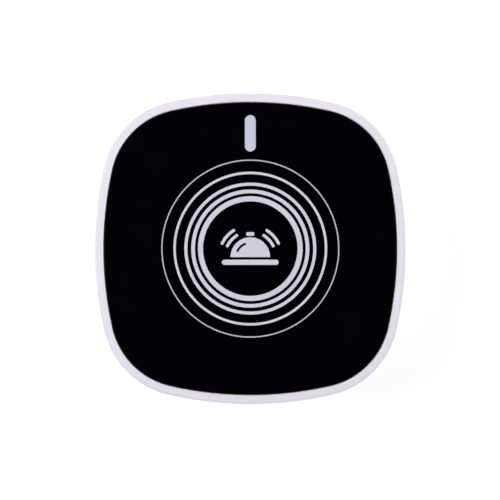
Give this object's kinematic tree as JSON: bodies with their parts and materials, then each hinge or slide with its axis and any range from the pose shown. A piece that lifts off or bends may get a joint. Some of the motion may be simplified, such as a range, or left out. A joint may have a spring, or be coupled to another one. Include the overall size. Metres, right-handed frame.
{
  "type": "wireless call pager",
  "caption": "Rounded-square table call pager: white case, black front panel with printed rings, flush round call button, indicator bar and a coin-cell door in the back.",
  "frame": {"origin": "middle of the resting face on the back of the case", "axes": "+Z out of the front panel, +Y towards the indicator bar, which is up on a wall, +X to the right seen from the front"},
  "size_m": [0.066, 0.066, 0.016],
  "materials": {
    "case_white": "fine moulded texture, satin",
    "panel_black": "fine matte texture",
    "button_black": "fine matte texture",
    "ring_ink": "screen print, satin",
    "lens_milky": "milky diffuser, satin",
    "adhesive_tape": "double-sided tape",
    "seal_silicone": "moulded silicone",
    "screw_steel": "zinc plated",
    "tinned_metal": "tin plated",
    "cell_steel": "drawn stainless",
    "contact_gold": "flash plated",
    "board_green": "solder mask, satin",
    "part_black": "moulded epoxy",
    "part_ivory": "moulded, satin",
    "wire_copper": "enamelled wire"
  },
  "bodies": {
    "housing": {"front_case": "case_white", "rear_cover": "case_white", "case_gasket": "seal_silicone", "case_screws": "screw_steel", "front_panel": "panel_black", "panel_adhesive": "adhesive_tape", "panel_rings": "ring_ink", "light_pipe": "lens_milky", "coin_cell": "cell_steel", "cell_holder": "part_black", "contact_positive": "contact_gold", "contact_negative": "contact_gold", "circuit_board": "board_green", "board_screws": "screw_steel", "switch_base": "part_black", "switch_cover": "tinned_metal", "switch_leads": "tinned_metal", "status_led": "part_ivory", "radio_chip": "part_black", "chip_leads": "tinned_metal", "crystal": "tinned_metal", "chip_capacitors": "part_ivory", "antenna_coil": "wire_copper"},
    "button": {"button_cap": "button_black", "button_ring": "ring_ink", "switch_plunger": "part_black"},
    "door": {"battery_door": "case_white", "door_seal": "seal_silicone"}
  },
  "joints": [
    {"name": "button_press", "type": "slide", "parent": "housing", "child": "button", "axis": [0, 0, -1], "range_m": [0, 0.0005], "stiffness_N_per_m": 1000, "springref_m": -0.001},
    {"name": "battery_door_turn", "type": "hinge", "parent": "housing", "child": "door", "pos_m": [0, 0, 0], "axis": [0, 0, -1], "range_deg": [0, 45]}
  ]
}
